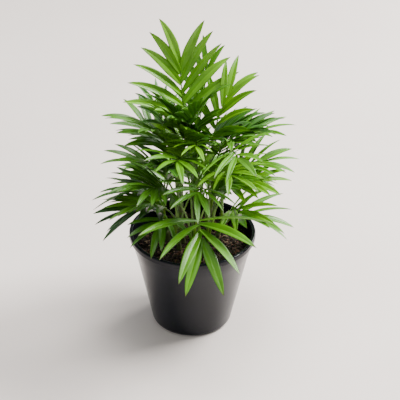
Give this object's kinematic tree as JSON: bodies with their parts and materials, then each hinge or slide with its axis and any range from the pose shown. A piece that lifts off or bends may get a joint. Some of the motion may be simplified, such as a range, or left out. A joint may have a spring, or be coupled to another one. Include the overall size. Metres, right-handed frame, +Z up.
{
  "type": "potted bamboo palm",
  "caption": "Young bamboo palm in a round tapered nursery pot: a clump of short canes with arching feathery fronds, standing in potting mix.",
  "frame": {"origin": "middle of the pot's flat underside", "axes": "+Z up along the pot's axis; -Y is the side that the picture shows"},
  "size_m": [0.2015, 0.2294, 0.3178],
  "materials": {
    "pot_plastic": "glossy black moulded plastic",
    "potting_mix": "loose dark potting mix with husk and fibre",
    "cane": "green cane wrapped in dry leaf bases",
    "frond": "smooth green leaf with fine lengthwise veins"
  },
  "bodies": {
    "root": {"cane_front": "cane", "cane_front_left": "cane", "cane_front_right": "cane", "cane_left": "cane", "cane_middle_left": "cane", "cane_rear": "cane", "cane_rear_left": "cane", "cane_rear_right": "cane", "cane_right": "cane", "cane_tallest": "cane", "frond_centre_high": "frond", "frond_centre_left": "frond", "frond_centre_low": "frond", "frond_centre_right": "frond", "frond_crown": "frond", "frond_front_1": "frond", "frond_front_2": "frond", "frond_front_3": "frond", "frond_front_left_1": "frond", "frond_front_left_2": "frond", "frond_front_left_low": "frond", "frond_front_low": "frond", "frond_front_right_1": "frond", "frond_inner_left": "frond", "frond_inner_right": "frond", "frond_left_1": "frond", "frond_left_2": "frond", "frond_left_high": "frond", "frond_left_low": "frond", "frond_left_lower": "frond", "frond_left_middle": "frond", "frond_left_rear": "frond", "frond_lower_right": "frond", "frond_middle_left_1": "frond", "frond_middle_left_2": "frond", "frond_rear_1": "frond", "frond_rear_2": "frond", "frond_rear_3": "frond", "frond_rear_4": "frond", "frond_rear_left_1": "frond", "frond_rear_left_2": "frond", "frond_rear_left_3": "frond", "frond_rear_right_1": "frond", "frond_rear_right_2": "frond", "frond_rear_right_3": "frond", "frond_right_fan": "frond", "frond_right_low": "frond", "frond_right_lower": "frond", "frond_right_middle": "frond", "frond_tallest_1": "frond", "frond_tallest_2": "frond", "frond_tallest_3": "frond", "frond_upper_rear": "frond", "frond_upper_right": "frond", "pot": "pot_plastic", "potting_mix": "potting_mix"}
  },
  "joints": []
}
